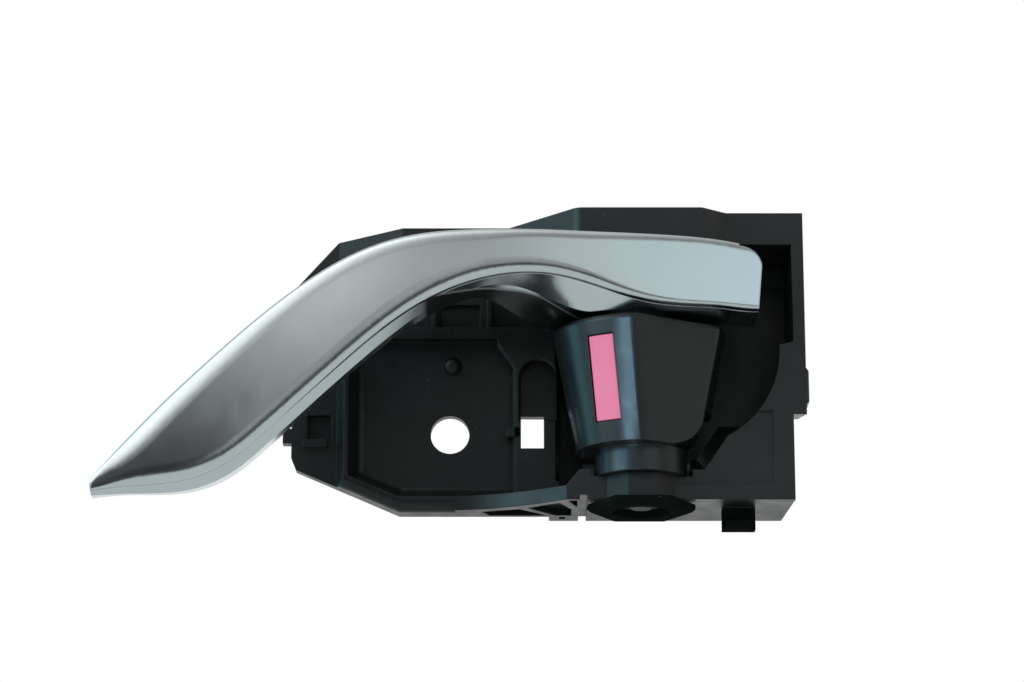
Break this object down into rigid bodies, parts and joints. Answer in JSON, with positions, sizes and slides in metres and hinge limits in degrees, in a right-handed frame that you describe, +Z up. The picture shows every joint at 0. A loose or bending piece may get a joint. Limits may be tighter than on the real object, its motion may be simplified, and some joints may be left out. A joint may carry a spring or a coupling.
{
  "type": "car interior door handle",
  "caption": "Swept pull lever and tapered lock knob on one upright pin, in a ribbed moulded base that screws behind a car's door trim.",
  "frame": {"origin": "centre of the screw hole on the mounting face at the back of the base", "axes": "+X to the right along the handle as the user sees it, -Y out of the door towards the user, +Z up along the pivot pin"},
  "size_m": [0.1754, 0.0553, 0.0792],
  "materials": {
    "moulded_plastic": "fine moulded grain",
    "lever_skin": "satin plated",
    "lever_core": "satin plated",
    "knob_plastic": "satin black",
    "indicator": "matt pink-red",
    "steel": "zinc plated",
    "spring_steel": "drawn wire and strip",
    "washer_plastic": "natural moulded",
    "pad_rubber": "matt soft rubber"
  },
  "bodies": {
    "base": {"base": "moulded_plastic", "pivot_pin": "steel", "pin_retainer": "spring_steel", "lever_spring": "spring_steel", "lever_stop_pad": "pad_rubber", "lock_detent_spring": "spring_steel"},
    "lever": {"lever_shell": "lever_skin", "lever_back": "lever_core", "lever_screws": "steel", "thrust_washer": "washer_plastic"},
    "knob": {"lock_knob": "knob_plastic", "lock_indicator": "indicator"}
  },
  "joints": [
    {"name": "lever_pull", "type": "hinge", "parent": "base", "child": "lever", "pos_m": [0.0475, -0.017, 0.0341], "axis": [0, 0, 1], "range_deg": [0, 35], "stiffness_Nm_per_rad": 0.2, "springref_deg": -34.38, "deforming": ["lever_spring"]},
    {"name": "lock_turn", "type": "hinge", "parent": "base", "child": "knob", "pos_m": [0.0475, -0.017, 0.0072], "axis": [0, 0, 1], "range_deg": [-40, 0], "deforming": ["lock_detent_spring"]}
  ]
}
